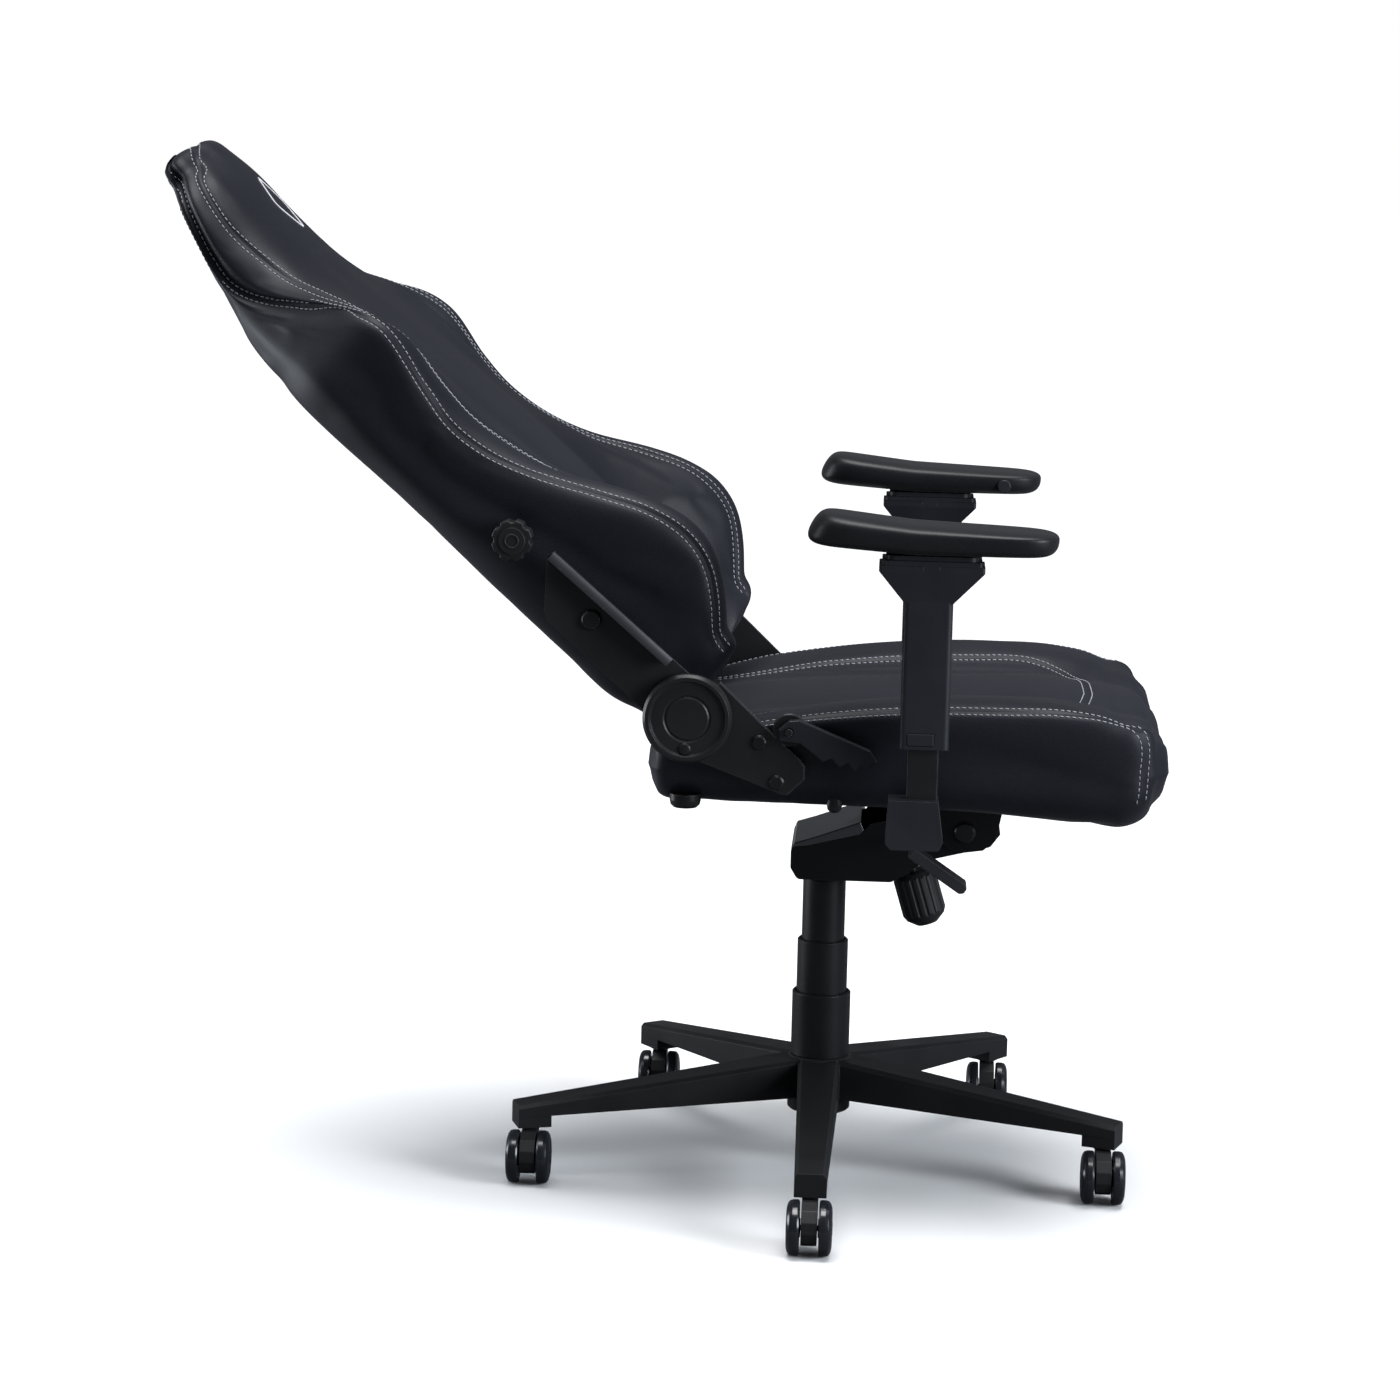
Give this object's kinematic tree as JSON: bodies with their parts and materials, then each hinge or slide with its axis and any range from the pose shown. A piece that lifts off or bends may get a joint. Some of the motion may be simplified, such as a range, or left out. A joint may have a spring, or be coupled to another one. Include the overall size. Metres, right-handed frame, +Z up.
{
  "type": "gaming chair",
  "caption": "Swivel seat on a wheeled star base, with a reclining winged back, a tilting gas-lift column and armrests that adjust in height, width, depth and angle.",
  "frame": {"origin": "on the floor under the gas column's axis", "axes": "+X the way the sitter faces, +Y to the sitter's left, +Z up"},
  "size_m": [1.089, 0.749, 1.1572],
  "materials": {
    "star_paint": "satin black powder coat",
    "caster_plastic": "satin black nylon",
    "wheel_plastic": "semi-gloss black",
    "column_steel": "satin black",
    "bright_steel": "ground steel",
    "cover_plastic": "satin black",
    "mechanism_paint": "black powder coat",
    "gloss_cover": "gloss black",
    "spring_steel": "oiled",
    "knob_plastic": "satin black",
    "lever_paint": "satin black",
    "frame_steel": "plain black",
    "bracket_paint": "satin black powder coat",
    "upholstery": "coated fabric like smooth leather, pale stitching",
    "pad_skin": "soft satin polyurethane",
    "arm_plastic": "fine matt grain",
    "fastener": "black oxide"
  },
  "bodies": {
    "base": {"base_star": "star_paint", "column_tube": "column_steel", "column_cover_lower": "cover_plastic"},
    "caster_1": {"caster_housing_1": "caster_plastic"},
    "wheel_a_1": {"caster_wheel_a_1": "wheel_plastic"},
    "wheel_b_1": {"caster_wheel_b_1": "wheel_plastic"},
    "caster_2": {"caster_housing_2": "caster_plastic"},
    "wheel_a_2": {"caster_wheel_a_2": "wheel_plastic"},
    "wheel_b_2": {"caster_wheel_b_2": "wheel_plastic"},
    "caster_3": {"caster_housing_3": "caster_plastic"},
    "wheel_a_3": {"caster_wheel_a_3": "wheel_plastic"},
    "wheel_b_3": {"caster_wheel_b_3": "wheel_plastic"},
    "caster_4": {"caster_housing_4": "caster_plastic"},
    "wheel_a_4": {"caster_wheel_a_4": "wheel_plastic"},
    "wheel_b_4": {"caster_wheel_b_4": "wheel_plastic"},
    "caster_5": {"caster_housing_5": "caster_plastic"},
    "wheel_a_5": {"caster_wheel_a_5": "wheel_plastic"},
    "wheel_b_5": {"caster_wheel_b_5": "wheel_plastic"},
    "spindle": {"piston_rod": "bright_steel"},
    "middle_cover": {"column_cover_middle": "cover_plastic"},
    "chassis": {"gas_cylinder": "column_steel", "column_cover_upper": "cover_plastic", "mechanism_housing": "mechanism_paint", "mechanism_cover": "gloss_cover", "tilt_spring": "spring_steel"},
    "tension_knob": {"tension_knob": "knob_plastic"},
    "height_lever": {"height_lever": "lever_paint"},
    "tilt_lock_lever": {"tilt_lock_lever": "lever_paint"},
    "seat": {"seat_plate": "mechanism_paint", "seat_frame": "frame_steel", "seat_cushion": "upholstery", "seat_bolts": "fastener", "recliner_bracket_right": "bracket_paint", "recliner_bracket_left": "bracket_paint", "recliner_covers": "cover_plastic", "recliner_cross_rod": "frame_steel", "arm_brackets": "bracket_paint", "arm_posts": "bracket_paint", "arm_shrouds": "arm_plastic", "seat_underside": "upholstery"},
    "recline_lever": {"recline_lever": "arm_plastic"},
    "back": {"back_brackets": "bracket_paint", "back_frame": "frame_steel", "back_cushion": "upholstery", "back_panel": "upholstery", "back_bolts": "fastener"},
    "lumbar_knob": {"lumbar_knob": "knob_plastic"},
    "lumbar": {"lumbar_plate": "arm_plastic"},
    "sleeve_right": {"arm_sleeve_right": "arm_plastic"},
    "arm_button_right": {"arm_button_right": "arm_plastic"},
    "arm_slide_right": {"arm_slide_plate_right": "arm_plastic"},
    "arm_swivel_right": {"arm_swivel_plate_right": "arm_plastic"},
    "arm_pad_right": {"arm_pad_right": "pad_skin"},
    "pad_button_right": {"pad_button_right": "arm_plastic"},
    "sleeve_left": {"arm_sleeve_left": "arm_plastic"},
    "arm_button_left": {"arm_button_left": "arm_plastic"},
    "arm_slide_left": {"arm_slide_plate_left": "arm_plastic"},
    "arm_swivel_left": {"arm_swivel_plate_left": "arm_plastic"},
    "arm_pad_left": {"arm_pad_left": "pad_skin"},
    "pad_button_left": {"pad_button_left": "arm_plastic"}
  },
  "joints": [
    {"name": "caster_swivel_1", "type": "hinge", "parent": "base", "child": "caster_1", "pos_m": [0, -0.34, 0.062], "axis": [0, 0, 1], "continuous": true},
    {"name": "wheel_spin_a_1", "type": "hinge", "parent": "caster_1", "child": "wheel_a_1", "pos_m": [0, -0.362, 0.03], "axis": [1, 0, 0], "continuous": true},
    {"name": "wheel_spin_b_1", "type": "hinge", "parent": "caster_1", "child": "wheel_b_1", "pos_m": [0, -0.362, 0.03], "axis": [1, 0, 0], "continuous": true},
    {"name": "caster_swivel_2", "type": "hinge", "parent": "base", "child": "caster_2", "pos_m": [0.32336, -0.10507, 0.062], "axis": [0, 0, 1], "continuous": true},
    {"name": "wheel_spin_a_2", "type": "hinge", "parent": "caster_2", "child": "wheel_a_2", "pos_m": [0.32336, -0.12707, 0.03], "axis": [1, 0, 0], "continuous": true},
    {"name": "wheel_spin_b_2", "type": "hinge", "parent": "caster_2", "child": "wheel_b_2", "pos_m": [0.32336, -0.12707, 0.03], "axis": [1, 0, 0], "continuous": true},
    {"name": "caster_swivel_3", "type": "hinge", "parent": "base", "child": "caster_3", "pos_m": [0.19985, 0.27507, 0.062], "axis": [0, 0, 1], "continuous": true},
    {"name": "wheel_spin_a_3", "type": "hinge", "parent": "caster_3", "child": "wheel_a_3", "pos_m": [0.19985, 0.25307, 0.03], "axis": [1, 0, 0], "continuous": true},
    {"name": "wheel_spin_b_3", "type": "hinge", "parent": "caster_3", "child": "wheel_b_3", "pos_m": [0.19985, 0.25307, 0.03], "axis": [1, 0, 0], "continuous": true},
    {"name": "caster_swivel_4", "type": "hinge", "parent": "base", "child": "caster_4", "pos_m": [-0.19985, 0.27507, 0.062], "axis": [0, 0, 1], "continuous": true},
    {"name": "wheel_spin_a_4", "type": "hinge", "parent": "caster_4", "child": "wheel_a_4", "pos_m": [-0.19985, 0.25307, 0.03], "axis": [1, 0, 0], "continuous": true},
    {"name": "wheel_spin_b_4", "type": "hinge", "parent": "caster_4", "child": "wheel_b_4", "pos_m": [-0.19985, 0.25307, 0.03], "axis": [1, 0, 0], "continuous": true},
    {"name": "caster_swivel_5", "type": "hinge", "parent": "base", "child": "caster_5", "pos_m": [-0.32336, -0.10507, 0.062], "axis": [0, 0, 1], "continuous": true},
    {"name": "wheel_spin_a_5", "type": "hinge", "parent": "caster_5", "child": "wheel_a_5", "pos_m": [-0.32336, -0.12707, 0.03], "axis": [1, 0, 0], "continuous": true},
    {"name": "wheel_spin_b_5", "type": "hinge", "parent": "caster_5", "child": "wheel_b_5", "pos_m": [-0.32336, -0.12707, 0.03], "axis": [1, 0, 0], "continuous": true},
    {"name": "seat_swivel", "type": "hinge", "parent": "base", "child": "spindle", "pos_m": [0, 0, 0.05], "axis": [0, 0, 1], "continuous": true},
    {"name": "seat_lift", "type": "slide", "parent": "spindle", "child": "chassis", "axis": [0, 0, 1], "range_m": [-0.09, 0.01]},
    {"name": "cover_slide", "type": "slide", "parent": "base", "child": "middle_cover", "axis": [0, 0, 1], "range_m": [-0.045, 0.005]},
    {"name": "tension_knob_turn", "type": "hinge", "parent": "chassis", "child": "tension_knob", "pos_m": [0.101, 0, 0.347], "axis": [-0.2924, 0, 0.9563], "range_deg": [-360, 360]},
    {"name": "height_lever_lift", "type": "hinge", "parent": "chassis", "child": "height_lever", "pos_m": [0.106, -0.066, 0.4], "axis": [0, -1, 0], "range_deg": [0, 15], "stiffness_Nm_per_rad": 1.5, "springref_deg": -22.92},
    {"name": "tilt_lock_turn", "type": "hinge", "parent": "chassis", "child": "tilt_lock_lever", "pos_m": [0.106, 0.066, 0.4], "axis": [0, -1, 0], "range_deg": [0, 25]},
    {"name": "seat_tilt", "type": "hinge", "parent": "chassis", "child": "seat", "pos_m": [0.157, 0, 0.408], "axis": [0, -1, 0], "range_deg": [0, 11], "stiffness_Nm_per_rad": 160, "springref_deg": -34.38},
    {"name": "recline_lever_pull", "type": "hinge", "parent": "seat", "child": "recline_lever", "pos_m": [-0.038, -0.27, 0.551], "axis": [0, -1, 0], "range_deg": [0, 20], "stiffness_Nm_per_rad": 1.2, "springref_deg": -17.19},
    {"name": "back_recline", "type": "hinge", "parent": "seat", "child": "back", "pos_m": [-0.147, 0, 0.563], "axis": [0, 1, 0], "range_deg": [0, 45]},
    {"name": "lumbar_knob_turn", "type": "hinge", "parent": "back", "child": "lumbar_knob", "pos_m": [-0.33798, -0.258, 0.74842], "axis": [0, -1, 0], "range_deg": [0, 300]},
    {"name": "lumbar_push", "type": "slide", "parent": "back", "child": "lumbar", "axis": [0.6691, 0, 0.7431], "range_m": [0, 0.018]},
    {"name": "arm_height_right", "type": "slide", "parent": "seat", "child": "sleeve_right", "axis": [0, 0, 1], "range_m": [-0.045, 0.035]},
    {"name": "arm_button_press_right", "type": "slide", "parent": "sleeve_right", "child": "arm_button_right", "axis": [0, 1, 0], "range_m": [0, 0.0025], "stiffness_N_per_m": 400, "springref_m": -0.002},
    {"name": "arm_width_right", "type": "slide", "parent": "sleeve_right", "child": "arm_slide_right", "axis": [0, -1, 0], "range_m": [-0.01, 0.015]},
    {"name": "arm_turn_right", "type": "hinge", "parent": "arm_slide_right", "child": "arm_swivel_right", "pos_m": [0.1085, -0.307, 0.747], "axis": [0, 0, 1], "range_deg": [-25, 25]},
    {"name": "arm_depth_right", "type": "slide", "parent": "arm_swivel_right", "child": "arm_pad_right", "axis": [1, 0, 0], "range_m": [-0.025, 0.025]},
    {"name": "pad_button_press_right", "type": "slide", "parent": "arm_pad_right", "child": "pad_button_right", "axis": [0, -1, 0], "range_m": [0, 0.0015], "stiffness_N_per_m": 300, "springref_m": -0.002},
    {"name": "arm_height_left", "type": "slide", "parent": "seat", "child": "sleeve_left", "axis": [0, 0, 1], "range_m": [-0.045, 0.035]},
    {"name": "arm_button_press_left", "type": "slide", "parent": "sleeve_left", "child": "arm_button_left", "axis": [0, -1, 0], "range_m": [0, 0.0025], "stiffness_N_per_m": 400, "springref_m": -0.002},
    {"name": "arm_width_left", "type": "slide", "parent": "sleeve_left", "child": "arm_slide_left", "axis": [0, 1, 0], "range_m": [-0.01, 0.015]},
    {"name": "arm_turn_left", "type": "hinge", "parent": "arm_slide_left", "child": "arm_swivel_left", "pos_m": [0.1085, 0.307, 0.747], "axis": [0, 0, 1], "range_deg": [-25, 25]},
    {"name": "arm_depth_left", "type": "slide", "parent": "arm_swivel_left", "child": "arm_pad_left", "axis": [1, 0, 0], "range_m": [-0.025, 0.025]},
    {"name": "pad_button_press_left", "type": "slide", "parent": "arm_pad_left", "child": "pad_button_left", "axis": [0, 1, 0], "range_m": [0, 0.0015], "stiffness_N_per_m": 300, "springref_m": -0.002}
  ],
  "couplings": [
    {"joint": "cover_slide", "follows": "seat_lift", "ratio": 0.5},
    {"joint": "lumbar_knob_turn", "follows": "lumbar_push", "rad_per_m": 290.8}
  ]
}
